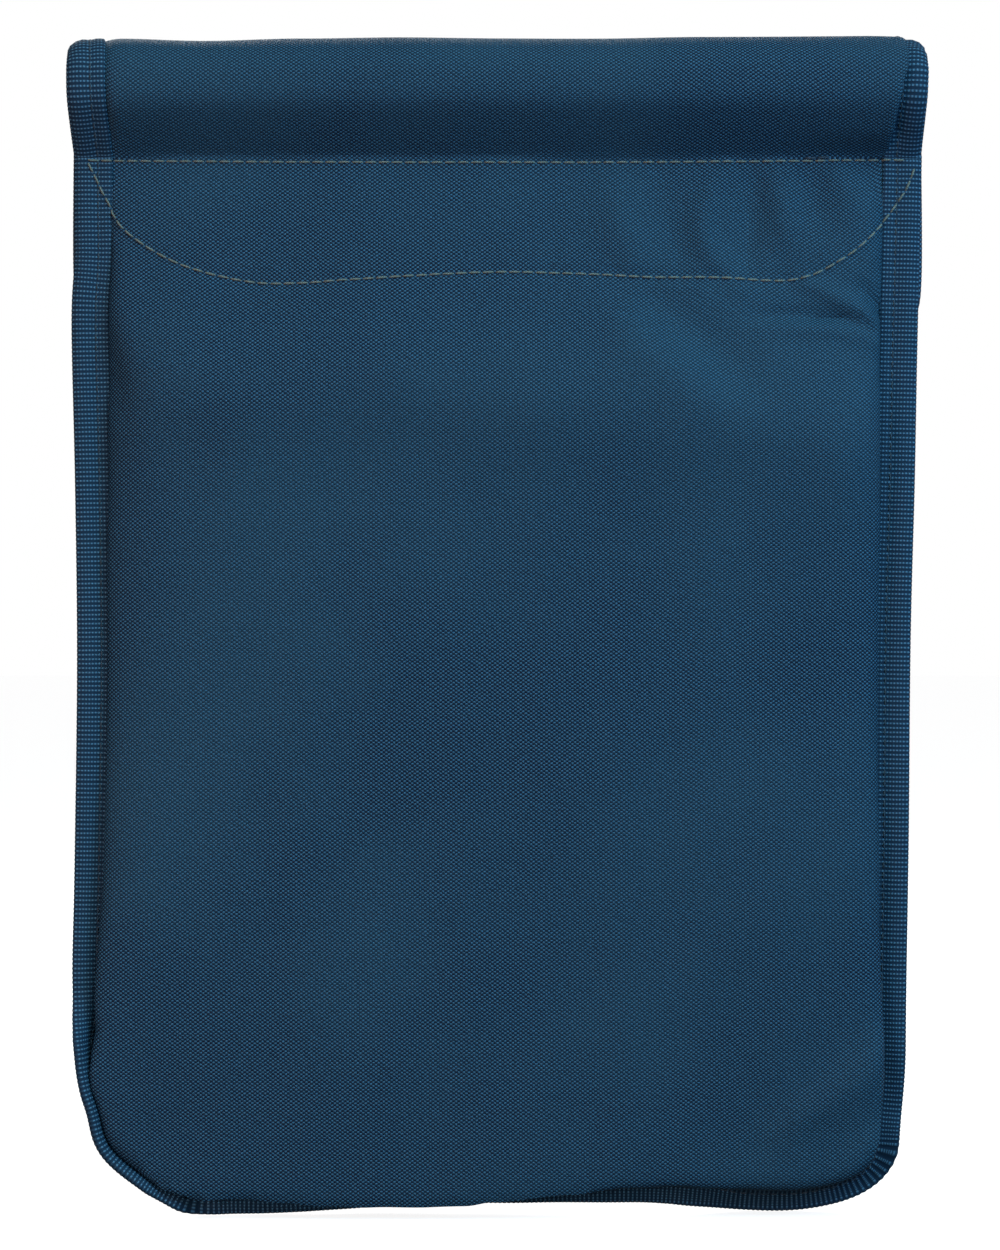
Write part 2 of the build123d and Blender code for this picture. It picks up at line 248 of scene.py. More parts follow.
class Shader:
    """A material's node tree, with short calls for the nodes used here."""

    def __init__(self, name):
        self.material = bpy.data.materials.new(name)
        self.material.use_nodes = True
        self.tree = self.material.node_tree
        self.surface = self.tree.nodes["Principled BSDF"]

    def node(self, kind, **settings):
        node = self.tree.nodes.new(kind)
        for key, value in settings.items():
            setattr(node, key, value)
        return node

    def feed(self, socket, value):
        if isinstance(value, bpy.types.NodeSocket):
            self.tree.links.new(value, socket)
        else:
            socket.default_value = value

    def math(self, operation, *values):
        node = self.node("ShaderNodeMath", operation=operation)
        for socket, value in zip(node.inputs, values):
            self.feed(socket, value)
        return node.outputs[0]

    def cloth(self):
        """The cloth's own coordinates, in metres along and across its threads."""
        attribute = self.node("ShaderNodeAttribute", attribute_name="weave")
        split = self.node("ShaderNodeSeparateXYZ")
        self.feed(split.inputs[0], attribute.outputs["Vector"])
        return attribute.outputs["Vector"], split.outputs[0], split.outputs[1]

    def noise(self, vector, scale, detail=2.0):
        node = self.node("ShaderNodeTexNoise")
        self.feed(node.inputs["Vector"], vector)
        node.inputs["Scale"].default_value = scale
        node.inputs["Detail"].default_value = detail
        return node.outputs[0]

    def mix(self, factor, a, b):
        node = self.node("ShaderNodeMix", data_type="RGBA")
        self.feed(node.inputs[0], factor)
        self.feed(node.inputs[6], a)
        self.feed(node.inputs[7], b)
        return node.outputs[2]

    def range(self, value, low, high, to_low=0.0, to_high=1.0):
        node = self.node("ShaderNodeMapRange", interpolation_type="SMOOTHSTEP")
        for socket, number in zip(node.inputs, (value, low, high, to_low, to_high)):
            self.feed(socket, number)
        return node.outputs[0]

    def object_point(self):
        return self.node("ShaderNodeTexCoord").outputs["Object"]

    def bump(self, height, distance, strength):
        node = self.node("ShaderNodeBump")
        node.inputs["Strength"].default_value = strength
        node.inputs["Distance"].default_value = distance
        self.feed(node.inputs["Height"], height)
        self.feed(self.surface.inputs["Normal"], node.outputs[0])

    def set(self, **values):
        """Give the surface's sockets a value or another node's output."""
        for key, value in values.items():
            self.feed(self.surface.inputs[key.replace("_", " ")], value)


def waves(shader, coordinate, pitch):
    """A cosine over a cloth coordinate that repeats every two pitches."""
    return shader.math("COSINE", shader.math("MULTIPLY", coordinate, math.pi / pitch))


def oxford_cloth(name, low, high, tint):
    """Coarse basket weave: raised floats, staggered row by row, between gaps; the floats' brightness is a
    painted highlight and the gaps' darkness is painted shade.
    """
    shader = Shader(name)
    vector, across, along = shader.cloth()
    wander = shader.noise(vector, 900.0)
    shift = shader.math("MULTIPLY", shader.math("SUBTRACT", wander, 0.5), THREAD_WANDER)
    across = shader.math("ADD", across, shift)
    along = shader.math("ADD", along, shift)
    weft = waves(shader, across, WEFT_PITCH)
    warp = waves(shader, along, WARP_PITCH)
    check = shader.math("MULTIPLY", weft, warp)
    # Where the floats carry a painted highlight; elsewhere the colour falls to painted shade between them
    float_highlight_mask = shader.range(check, -0.25, 0.8)
    yarn = shader.noise(vector, 5000.0)
    patch = shader.noise(shader.object_point(), 9.0, 3.0)
    # The yarn's blue, with a painted highlight on its floats and painted shade in the gaps
    woven_shade_and_highlight = shader.mix(float_highlight_mask, low, high)
    grain = shader.math("MULTIPLY", yarn, 0.35)
    worn = shader.mix(shader.range(patch, 0.4, 0.65), woven_shade_and_highlight, tint)
    shader.bump(shader.math("ADD", shader.math("ABSOLUTE", check), grain), 0.00022, 0.55)
    roughness = shader.range(check, -1.0, 1.0, 0.72, 0.52)
    shader.set(Base_Color=shader.mix(WEAR, woven_shade_and_highlight, worn), Roughness=roughness, Specular_IOR_Level=0.12)
    return shader.material


def ribbed_tape(name, low, high):
    """Binding tape: ribs across its run, each a row of small bright picks."""
    shader = Shader(name)
    vector, run, width = shader.cloth()
    ribs = waves(shader, run, RIB_PITCH * MM / 2)
    picks = waves(shader, width, PICK_PITCH)
    rows = shader.range(ribs, -0.2, 1.0)
    dots = shader.range(picks, -0.6, 0.9, 0.2, 1.0)
    pattern = shader.math("MULTIPLY", rows, dots)
    yarn = shader.math("MULTIPLY", shader.noise(vector, 4000.0), 0.4)
    shader.bump(shader.math("ADD", pattern, yarn), 0.00016, 0.6)
    roughness = shader.range(pattern, 0.0, 1.0, 0.75, 0.55)
    shader.set(Base_Color=shader.mix(pattern, low, high), Roughness=roughness, Specular_IOR_Level=0.12)
    return shader.material


def twisted_thread(name, low, high):
    """Sewing thread: two plies that twist round each other."""
    shader = Shader(name)
    _, run, around = shader.cloth()
    slant = shader.math("ADD", run, shader.math("MULTIPLY", around, 0.9))
    plies = waves(shader, slant, PLY_PITCH)
    fuzz = shader.noise(shader.object_point(), 2600.0)
    tone = shader.math("ADD", shader.range(plies, -1.0, 1.0, 0.0, 0.7), shader.math("MULTIPLY", fuzz, 0.4))
    shader.bump(plies, 0.00006, 0.7)
    shader.set(Base_Color=shader.mix(tone, low, high), Roughness=0.65, Sheen_Weight=0.1)
    return shader.material


def napped_patch(name, low, high, scale):
    """Hook or loop tape: a dense nap of tiny loops."""
    shader = Shader(name)
    cells = shader.node("ShaderNodeTexVoronoi")
    shader.feed(cells.inputs["Vector"], shader.object_point())
    cells.inputs["Scale"].default_value = scale
    nap = shader.range(cells.outputs["Distance"], 0.0, 0.6)
    shader.bump(shader.math("SUBTRACT", 1.0, nap), 0.0004, 0.9)
    shader.set(Base_Color=shader.mix(nap, high, low), Roughness=0.85, Sheen_Weight=0.2)
    return shader.material


def plated_steel(name):
    """Satin plated steel with fine scratches and a little tarnish."""
    shader = Shader(name)
    point = shader.object_point()
    stretch = shader.node("ShaderNodeMapping")
    shader.feed(stretch.inputs["Vector"], point)
    stretch.inputs["Scale"].default_value = (1.0, 1.0, 14.0)
    scratches = shader.noise(stretch.outputs[0], 900.0, 4.0)
    cloud = shader.noise(point, 160.0, 3.0)
    tone = shader.mix(cloud, (0.3, 0.3, 0.3, 1), (0.46, 0.455, 0.445, 1))
    shader.bump(scratches, 0.00002, 0.4)
    shader.set(Base_Color=tone, Roughness=shader.range(scratches, 0.3, 0.7, 0.26, 0.44), Metallic=1.0)
    return shader.material


# For both cloths the low colour is the yarn in painted shade between its floats and the high colour is its
# painted highlight on them; the tint is a drift of the cloth's own tone
cloth_material = oxford_cloth(
    "nylon_cloth", (0.0006, 0.0065, 0.020, 1), (0.030, 0.104, 0.180, 1), (0.018, 0.062, 0.100, 1)
)
facing_material = oxford_cloth(
    "facing_cloth", (0.0006, 0.007, 0.018, 1), (0.01, 0.065, 0.13, 1), (0.012, 0.05, 0.085, 1)
)
tape_material = ribbed_tape("binding_tape", (0.004, 0.018, 0.040, 1), (0.058, 0.145, 0.235, 1))
contrast_thread = twisted_thread("contrast_thread", (0.03, 0.038, 0.036, 1), (0.15, 0.185, 0.165, 1))
tone_thread = twisted_thread("tone_thread", (0.0015, 0.01, 0.024, 1), (0.01, 0.04, 0.075, 1))
loop_material = napped_patch("loop_pile", (0.004, 0.018, 0.038, 1), (0.02, 0.06, 0.11, 1), 2200.0)
hook_material = napped_patch("hook_pile", (0.004, 0.016, 0.034, 1), (0.03, 0.07, 0.12, 1), 1500.0)
steel_material = plated_steel("plated_steel")


# ---- the bag's outline

# The outside edge of the binding, from the top of the left side seam round the bottom
# to the top of the right one: (x, z).  The sides waver and the bottom edge lifts a
# little in the middle, as soft cloth does.
EDGE_POINTS = [
    (-137.6, SEAM_TOP), (-137.6, 325), (-137.5, 310), (-138.4, 290), (-137.2, 240), (-136.3, 180),
    (-137.0, 125), (-137.7, 85), (-137.4, 68), (-136.6, 54), (-135.0, 42), (-132.3, 33.5), (-130.9, 26.5),
    (-128.3, 21), (-124.0, 16.3), (-118.1, 11.7), (-112.3, 7.6), (-105.5, 3.6), (-100.8, 1.2), (-94.5, 0.3),
    (-86.0, 0.5), (-71.3, 0.4), (-48, 1.4), (-31, 2.2), (-14, 3.0), (5, 3.2), (22, 3.7), (35, 3.8),
    (51.5, 3.5), (67.4, 2.0), (80, 0.6), (95.2, 0.3), (108.2, 2.1), (118.6, 5.6), (125.8, 11.0),
    (130.2, 18.6), (131.0, 28), (132.2, 45), (132.7, 80), (133.2, 120), (134.1, 190), (135.6, 245),
    (136.9, 300), (137.5, 325), (137.9, SEAM_TOP),
]


def softened(path, spread):
    """An evenly spaced path with its kinks rounded off over a distance, its ends kept."""
    count = int(3 * spread / STEP)
    weights = bell(np.arange(-count, count + 1) * STEP / spread)
    weights /= weights.sum()
    first, last = path[:1], path[-1:]
    padded = np.concatenate([2 * first - path[count:0:-1], path, 2 * last - path[-2 : -count - 2 : -1]])
    soft = vectors(*(np.convolve(column, weights, "valid") for column in padded.T))
    return at_lengths(soft, np.linspace(0, lengths(soft)[-1], len(path)))


EDGE_SOFTNESS = 3.2
edge = softened(smooth_path(EDGE_POINTS, STEP), EDGE_SOFTNESS)
edge_s = lengths(edge)
edge_in = inward(edge, 1)

# How the binding leans and curls along that edge, in degrees, where the middle of the
# back is the side it leans to; and how far the full panels hang out over it
EDGE_TILT = [
    (0, 0), (40, 3), (120, 9), (240, 9), (268, 18), (292, 70), (306, 83), (336, 83), (351, 42), (364, 4),
    (392, -10), (425, -26), (452, -24), (490, -14), (516, -22), (540, -58), (578, -58), (608, -14),
    (632, 8), (680, 11), (800, 9), (860, 3), (900, 0),
]
EDGE_CURL = [
    (0, 5), (140, 12), (250, 24), (280, 10), (300, -8), (336, -8), (354, 16), (372, 16), (420, -8),
    (460, -4), (500, 30), (540, 124), (580, 124), (614, 44), (660, 14), (780, 8), (900, 3),
]
# How much of the binding shows beside the back panel, which hangs out over the rest
BACK_SHOWS = [
    (0, 12.7), (60, 12.6), (95, 11.2), (140, 10.0), (230, 9.7), (280, 7.4), (300, 3.8), (322, 4.2),
    (345, 4.2), (358, 5.6), (376, 6.3), (390, 4.9), (402, 3.4), (417, 2.3), (437, 1.4), (448, 1.4),
    (457, 2.6), (482, 4.3), (500, 6.4), (520, 7.8), (540, 8.6), (585, 8.4), (604, 7.6), (622, 7.4),
    (680, 9.6), (740, 10.6), (790, 11.0), (840, 12.0), (858, 12.7), (900, 12.7),
]
# How far in from its seam the back panel takes to fill out
BACK_ROUND = [
    (0, 7.0), (80, 8.5), (180, 9.5), (250, 4.6), (300, 1.8), (345, 1.8), (380, 2.6), (450, 2.6), (615, 2.8),
    (660, 4.5), (740, 6.5), (820, 5.5), (900, 6.3),
]
# How far past its seam the front panel hangs
FRONT_LIP = [
    (0, 0), (80, 1.5), (300, 2.5), (350, 2.5), (400, 1.0), (520, 0), (600, 0), (640, 1.5), (820, 1.5),
    (900, 0),
]

tilt = np.radians(keyed(edge_s, EDGE_TILT))
curl = np.radians(keyed(edge_s, EDGE_CURL))
seam_sway = 0.5 * np.sin(edge_s / 41.0) + 0.35 * np.sin(edge_s / 17.0 + 1.0)
seam_sway *= keyed(edge_s, [(0, 0), (60, 1), (edge_s[-1] - 60, 1), (edge_s[-1], 0)])

CURL_POWER = 3
BEND_STEPS = 32


def bent(tilt, curl, m):
    """Where points at distances m across a tape get to, and how much it has turned there.

    The tape leans by tilt, and then curls more and more, by curl in all, towards its outer edge.
    """
    share = np.linspace(0, 1, BEND_STEPS + 1)
    angle = tilt[:, None] + curl[:, None] * share**CURL_POWER
    step = TAPE_WIDTH / BEND_STEPS
    run = [np.cumsum(f(angle), axis=1) * step - f(angle) * step for f in (np.cos, np.sin)]
    at = np.clip(m / TAPE_WIDTH, 0, 1) * BEND_STEPS
    low = np.minimum(at.astype(int), BEND_STEPS - 1)
    part = at - low
    rows = np.arange(len(tilt))[:, None]
    out, up = (r[rows, low] * (1 - part) + r[rows, low + 1] * part for r in run)
    return out, up, tilt[:, None] + curl[:, None] * np.clip(m / TAPE_WIDTH, 0, 1) ** CURL_POWER


GAP = 0.9  # half the thickness of what the tape is folded over
# A tape's face from its inner edge, hollow at its stitches: (distance out, height over what it wraps)
TAPE_FACE = [
    (0.0, 0.42), (0.25, 0.62), (1.2, 0.78), (2.8, 0.74), (3.9, 0.5), (4.7, 0.36), (5.5, 0.52), (6.8, 0.86),
    (8.8, 0.98), (10.6, 0.82), (11.8, 0.25), (12.45, -0.35),
]


def tape_section(gap):
    """A folded tape's closed outline: (distance out, height), and how much each point's ribs stand up."""
    upper = [(m, gap + h) for m, h in TAPE_FACE]
    lower = [(m, -h) for m, h in reversed(upper)]
    inside = [
        (0.0, -gap), (6.0, -gap), (11.0, 0.1 - gap), (11.9, 0.0), (11.0, gap - 0.1), (6.0, gap), (0.0, gap),
    ]
    outline = np.array(upper + [(TAPE_WIDTH, 0.0)] + lower + inside)
    ribbed = np.array([1.0] * (2 * len(upper) + 1) + [0.0] * len(inside))
    return outline, ribbed


def reach(tilt, curl):
    """How far out a leaning, curling tape's outermost face is."""
    section, _ = tape_section(GAP)
    out, _, angle = bent(tilt, curl, section[:, 0] + 0 * tilt[:, None])
    return (out - section[:, 1] * np.sin(angle)).max(axis=1)


edge_reach = reach(tilt, curl)
seam = edge + edge_in * edge_reach[:, None]


# ---- binding tape

RIB_HEIGHT = 0.09


def tape_piece(name, origin, out, up, tilt, curl, gap):
    """Ribbed tape folded over an edge.  origin is its inner edge, out and up the cloth's own directions."""
    section, ribbed = tape_section(gap)
    turn = np.gradient(section, axis=0)
    face_normal = unit(vectors(-turn[:, 1], turn[:, 0]))
    s = lengths(origin)[:, None]
    rib = ribbed * RIB_HEIGHT * np.cos(2 * math.pi * s / RIB_PITCH)
    m = section[:, 0] + rib * face_normal[:, 0]
    b = section[:, 1] + rib * face_normal[:, 1]
    x, y, angle = bent(tilt, curl, m)
    x, y = x - b * np.sin(angle), y + b * np.cos(angle)
    points = origin[:, None] + out[:, None] * x[..., None] + up[:, None] * y[..., None]
    faces = tube_faces(len(s), len(section))
    return new_piece(name, points, faces, tape_material, vectors(s, section[:, 0], 0)), points


def seen_row(points):
    """Where a row of stitches runs on the face of a tape, and on its other face."""
    face = int(np.argmin([abs(m - STITCH_OUT) for m, _ in TAPE_FACE]))
    return points[:, face], points[:, 2 * len(TAPE_FACE) - face]


# ---- stitches

STITCH_RINGS = 9
STITCH_SIDES = 8


def stitches(name, path, normal, pitch, share, radius, material, slot):
    """A row of single stitches along a path, each a thread that comes up and goes down again."""
    s = lengths(path)
    count = max(1, int(s[-1] / pitch))
    start = np.arange(count) * pitch + 0.5 * pitch * (1 - share)
    t = np.linspace(0, 1, STITCH_RINGS)
    where = start[:, None] + t[None] * share * pitch
    centre = sampled(path, s, where)
    up = unit(sampled(normal, s, where))
    along = unit(np.gradient(centre, axis=1))
    side = unit(np.cross(along, up))
    lift = radius * (1.7 * np.sin(math.pi * t) ** 0.5 - 0.8)
    centre = centre + up * lift[None, :, None]
    around = np.arange(STITCH_SIDES) / STITCH_SIDES * 2 * math.pi
    thin = (0.35 + 0.65 * np.sin(math.pi * np.clip(t, 0.02, 0.98)) ** 0.4)[None, :, None, None]
    ring = side[:, :, None] * np.cos(around)[:, None] + up[:, :, None] * np.sin(around)[:, None]
    points = centre[:, :, None] + radius * thin * ring
    faces = []
    for k in range(count):
        faces += tube_faces(STITCH_RINGS, STITCH_SIDES, k * STITCH_RINGS * STITCH_SIDES)
    return new_piece(name, points, faces, material, vectors(where[..., None], around * radius, 0))


# ---- panels

# Where the grid lines next to a seam are, close together near it
EDGE_STEPS = np.array([0, 1.5, 2.2, 3.0, 3.9, 5.0, 6.3, 7.8, 9.6, 11.8, 14.4, 17.5])


def graded(total, step, both=True):
    """Shares from 0 to 1 along a length, with fine steps at its start, and at its end too."""
    last = total - EDGE_STEPS[-1] if both else total
    middle = np.linspace(EDGE_STEPS[-1], last, int((last - EDGE_STEPS[-1]) / step) + 1)[1:]
    tail = total - EDGE_STEPS[-2::-1] if both else []
    return np.concatenate([EDGE_STEPS, middle, tail]) / total


def coons(bottom, top, left, right, u, v):
    """A patch between four sides; bottom and top are given at u, left and right at v."""
    u, v = u[None, :, None], v[:, None, None]
    ruled_v = (1 - v) * bottom[None] + v * top[None]
    ruled_u = (1 - u) * left[:, None] + u * right[:, None]
    corners = (1 - u) * (1 - v) * bottom[0] + u * (1 - v) * bottom[-1] + (1 - u) * v * top[0] + u * v * top[-1]
    return ruled_v + ruled_u - corners


TUCK = 1.5  # the cloth runs this far under the tape's inner edge
seam_out = seam - edge_in * TUCK


def corner(way_in, places, first, last):
    """Which point of an edge, between two places along it, is nearest to running at 45 degrees."""
    lean = np.abs(np.abs(way_in[:, 0]) - np.abs(way_in[:, 1]))
    return int(np.argmin(lean + 9 * ((places < first) | (places > last))))


middle_left = corner(edge_in, edge_s, 250, 420)
middle_right = corner(edge_in, edge_s, 480, 650)


def pouch_patch(top_z, u, v):
    """The pouch's area as a grid of (x, z): rows up from the bottom seam to a level top."""
    left_side = seam_out[: middle_left + 1][::-1]
    right_side = seam_out[middle_right:]
    left = at_lengths(left_side, v * np.interp(top_z, left_side[:, 1], lengths(left_side)))
    right = at_lengths(right_side, v * np.interp(top_z, right_side[:, 1], lengths(right_side)))
    bottom = at_shares(seam_out[middle_left : middle_right + 1], u)
    top = left[-1] + (right[-1] - left[-1]) * u[:, None]
    return coons(bottom, top, left, right, u, v)


def point_tree(path):
    """A search tree over a flat path's points."""
    tree = KDTree(len(path))
    for i, (x, z) in enumerate(path):
        tree.insert((x, z, 0.0), i)
    tree.balance()
    return tree


def seam_distance(patch):
    """Each point's distance in from the seam, the way in, and its place along the bag's outside edge."""
    tree = point_tree(edge)
    flat = patch.reshape(-1, 2)
    nearest = np.array([tree.find((x, z, 0.0))[1] for x, z in flat])
    nearest = np.clip(nearest, 1, len(edge) - 2)
    ahead = unit(edge[nearest + 1] - edge[nearest - 1])
    slip = ((flat - edge[nearest]) * ahead).sum(-1)
    foot = edge[nearest] + ahead * slip[:, None]
    place = edge_s[nearest] + slip
    distance = np.linalg.norm(flat - foot, axis=1) - np.interp(place, edge_s, edge_reach)
    shape = patch.shape[:2]
    return np.maximum(distance, 0).reshape(shape), edge_in[nearest].reshape(shape + (2,)), place.reshape(shape)


LIP_REACH = 7.0
LEAST_LIP = 0.4


def lip_shape(d):
    """How the push over a seam rises and dies away at distances d in from it; 1 at most."""
    return d / LIP_REACH * np.exp(1 - d / LIP_REACH)


def hang_for(lip):
    """How strongly cloth is pushed out over its seam so that it ends up lip past it."""
    d = np.linspace(0, 3 * LIP_REACH, 200)
    push = np.linspace(0, 24, 97)
    reached = np.array([(a * lip_shape(d) - d).max() for a in push])
    first = max(int(np.argmax(reached > 0)) - 1, 0)
    return np.interp(lip, reached[first:], push[first:]) * np.clip(lip / LEAST_LIP, 0, 1)


def swell(patch, side, depth, push, fill, top_fade, creases, crown):
    """A full panel from a flat patch, pushed out over its seams; push and fill are given along the edge."""
    d, way, place = seam_distance(patch)
    hang = np.interp(place, edge_s, push) * lip_shape(d)
    rise = 1 - np.exp(-((d / np.interp(place, edge_s, fill)) ** 1.15))
    rise = rise * (1 - crown * np.exp(-d / 28.0))
    sway = np.interp(place, edge_s, seam_sway) * np.exp(-d / 30.0)
    height = depth * rise * top_fade + creases(patch[..., 0], patch[..., 1], d)
    flat = patch - way * hang[..., None]
    return vectors(flat[..., 0], side * (PLY + height) + sway, flat[..., 1])


def threads(points, flat):
    """Cloth coordinates for a grid: how far each point lies along the weft and along the warp."""
    share = []
    for axis, kind in ((1, 0), (0, 1)):
        step = np.linalg.norm(np.diff(points, axis=axis), axis=-1)
        way = np.diff(flat, axis=axis)
        part = step * way[..., kind] / np.maximum(np.linalg.norm(way, axis=-1), 1e-9)
        total = np.concatenate([np.zeros_like(part.take([0], axis)), np.cumsum(part, axis)], axis=axis)
        middle = total.shape[axis] // 2
        start = flat[..., kind].take([middle], axis) - total.take([middle], axis)
        share.append(total + start)
    return np.stack(share, axis=-1)


def ridge(x, z, start, end, width, height):
    """A soft fold from start to end, highest in its middle."""
    a, b = np.array(start, float), np.array(end, float)
    run = b - a
    t = ((x - a[0]) * run[0] + (z - a[1]) * run[1]) / (run @ run)
    off = ((x - a[0]) * -run[1] + (z - a[1]) * run[0]) / math.hypot(*run)
    ends = bell((t - np.clip(t, 0, 1)) * math.hypot(*run) / (1.5 * width))
    body = 0.45 + 0.55 * np.sin(math.pi * np.clip(t, 0, 1))
    return height * ends * body * bell(off / width)


# The half-moon row of stitches that holds the facing's lower edge to the back: (x, z)
MOON = [
    (-133.0, 342.0), (-127.0, 330.0), (-120.4, 319.3), (-103.2, 308.6), (-81.6, 302.8), (-65.2, 302.1),
    (-44.6, 303.4), (-3.7, 305.7), (29.1, 305.1), (50.0, 304.2), (70.0, 304.1), (95.8, 303.4),
    (111.2, 309.9), (121.6, 318.4), (131.4, 331.0), (134.4, 337.4), (135.8, 342.0),
]
moon = smooth_path(MOON, 0.5)


def along_line(x, z, line, width, height):
    """A soft ridge, or a valley where height is negative, that follows a bent line and fades at its ends."""
    path = smooth_path(line, 1.0)
    near = (x > path[:, 0].min() - 4 * width) & (x < path[:, 0].max() + 4 * width)
    near &= (z > path[:, 1].min() - 4 * width) & (z < path[:, 1].max() + 4 * width)
    result = np.zeros_like(x)
    gap = np.hypot(x[near][:, None] - path[:, 0], z[near][:, None] - path[:, 1])
    nearest = np.argmin(gap, axis=1)
    share = nearest / (len(path) - 1)
    fade = np.sin(math.pi * np.clip(share * 0.9 + 0.05, 0, 1)) ** 0.6
    result[near] = height * fade * bell(gap.min(axis=1) / width)
    return result


# A fold pulled tight across the right side, its lower lip, and the slack above it: (x, z)
PULL = [(82, 291.8), (98, 291.4), (110.9, 290.0), (118.6, 286.6), (124, 282.0)]
PULL_LIP = [(86, 287.6), (102, 287.6), (110.9, 287.0), (118.6, 283.2), (124.4, 279.0), (130, 273.0)]
PULL_TOP = [(98, 303.0), (105.0, 299.0), (112, 295.0), (117.6, 290.2), (124.5, 282.0), (131, 273)]
PULL_EDGE = [(114, 301), (121.6, 292.4), (126.5, 284.6), (132, 275)]
# Soft folds: upright ones over the facing's right half, long slack ones under them, and the left side's
# and the bottom right corner's: (line, width, height)
SOFT_FOLDS = (
    ([(37, 336), (40, 318), (45, 303)], 6.5, 1.4),
    ([(54, 336), (56, 318), (60, 306)], 6.0, -1.0),
    ([(73, 340), (67, 326), (68, 314), (80, 300)], 4.2, 1.7),
    ([(83, 340), (82, 322), (80, 308)], 4.6, -1.6),
    ([(90, 340), (92.5, 325), (95, 310)], 4.2, 1.2),
    ([(101, 340), (102, 328), (106, 314)], 4.2, -1.0),
    ([(107, 342), (112, 330), (118, 320)], 5.4, 2.1),
    ([(40, 306), (58, 290), (84, 268)], 8.0, -2.4),
    ([(34, 292), (54, 276), (74, 260)], 9.0, 1.5),
    ([(-132, 292), (-124, 280), (-118, 262)], 5.0, -2.4),
    ([(98, 321), (110, 315), (122, 312)], 12.0, 2.6),
    ([(92, 30), (106, 44), (122, 64)], 5.0, 1.9),
    ([(104, 22), (116, 38), (128, 52)], 4.0, -0.9),
)


# The waves of the panels' slack cloth: (height, length along x, length along z, phase)
BACK_SLACK = [(0.30, 210, 140, 0.4), (0.22, -95, 120, 1.9), (0.12, 47, 300, 0.8), (0.10, -60, 43, 2.6)]
FRONT_SLACK = [(0.35, 180, 150, 1.2), (0.25, -80, 110, 0.3), (0.15, 52, -240, 2.2)]


def back_creases(x, z, d):
    """The back panel's soft folds, d from its seam: most of them under the seam near the right side."""
    folds = sum(along_line(x, z, line, width, height) for line, width, height in SOFT_FOLDS)
    broad = ripple(x, z, BACK_SLACK) * np.clip(d / 16.0, 0, 1) ** 1.3 + folds * np.clip(d / 7.0, 0, 1)
    pull = along_line(x, z, PULL, 2.0, -2.0) + along_line(x, z, PULL_LIP, 3.0, 1.5)
    pull = pull + along_line(x, z, PULL_TOP, 2.6, 2.4) + along_line(x, z, PULL_EDGE, 2.2, -3.0)
    return broad + (pull + seam_pucker(x, z)) * np.clip(d / 3.5, 0, 1)


def seam_pucker(x, z):
    """Sewing draws the cloth in along the half-moon row and gathers it a little on each side."""
    tree = point_tree(moon)
    drawn = np.zeros_like(x)
    for a, b in np.argwhere((z > moon[:, 1].min() - 12) & (np.abs(x) < HALF)):
        _, i, gap = tree.find((x[a, b], z[a, b], 0.0))
        gather = 0.10 * math.sin(i * 0.5 / 1.7) + 0.07 * math.sin(i * 0.5 / 3.1 + 1.0)
        drawn[a, b] = -0.45 * math.exp(-((gap / 1.7) ** 2)) + gather * math.exp(-((gap / 7.0) ** 2))
    return drawn


def front_creases(x, z, d):
    """The front panel's folds, away from the flat closure in its middle."""
    clear = 1 - np.exp(-(((x / 105) ** 4 + ((z - staple_axis[2]) / 40) ** 4)))
    folds = ridge(x, z, (-118, 60), (-90, 95), 6, -0.8) + ridge(x, z, (112, 210), (88, 180), 7, -0.7)
    return (ripple(x, z, FRONT_SLACK) + folds) * clear * np.clip(d / 16.0, 0, 1) ** 1.3


# ---- the fold and the flap

# The side view of the cloth's face, from a pinched seam round a full roll to its crest: (y, height)
ROLL = [
    (-PLY, 0.0), (-1.4, 1.6), (-4.8, 6.2), (-8.4, 11.2), (-11.3, 15.8), (-12.6, 19.4), (-12.9, 23.8),
    (-12.1, 29.6), (-8.4, 35.8), (-2.6, 39.3),
]


def fold_profile():
    """The side view of the cloth's face from the seam over the crest and down the flap: (y, z)."""
    turn = np.radians([90, 70, 50, 30, 12])
    radius = FLAP_FACE - hinge[1]
    crest = [(hinge[1] + radius * math.cos(a), CREST_Z + radius * math.sin(a)) for a in turn]
    roll = [(y, SEAM_TOP + z) for y, z in ROLL]
    fall = [(FLAP_FACE, CREST_Z - 4.0), (FLAP_FACE, CREST_Z - 16.0), (FLAP_FACE, FLAP_END - 2.0)]
    return smooth_path(roll + crest + fall, 0.4)


profile = fold_profile()
profile_s = lengths(profile)
CREST_POINT = int(np.argmax(profile[:, 1]))
CREST_S = float(profile_s[CREST_POINT])
FLAP_TOP_S = float(profile_s[CREST_POINT + np.argmax(profile[CREST_POINT:, 1] < CREST_Z)])
END_S = float(FLAP_TOP_S + CREST_Z - FLAP_END)


# How much the fold's crest rises and falls along the bag
CREST_DIP = [
    (-141, -1.5), (-131, -1.0), (-122, -0.8), (-97, -1.3), (-64, -0.35), (-32, 0), (0, -0.3), (33, -0.4),
    (66, 0.0), (98, 0.1), (113, 0.0), (124, -0.5), (132, -0.9), (141, -1.2),
]


def on_fold(x, s, inset=0.0):
    """Points of the fold's cloth, s from the seam and inset below its face, and the ways along and up."""
    here, before, after = (sampled(profile, profile_s, at) for at in (s, s - 0.5, s + 0.5))
    y, z = here[..., 0], here[..., 1]
    along = unit(vectors(0, after[..., 0] - before[..., 0], after[..., 1] - before[..., 1]))
    up = vectors(0, -along[..., 2], along[..., 1])
    high = np.clip((z - SEAM_TOP) / (FOLD_TOP - SEAM_TOP), 0, 1) * bell((s - CREST_S) / 45.0)
    swing = 0.45 * np.sin(x / 37.0 + 2.0) + 0.3 * np.sin(x / 14.0)
    z = z + high * keyed(x, CREST_DIP)
    y = y + high * swing * np.clip((CREST_S + 20 - s) / 20, 0, 1)
    return vectors(x, y, z) - np.asarray(inset)[..., None] * up, along, up


FLAP_CORNER = 45.0


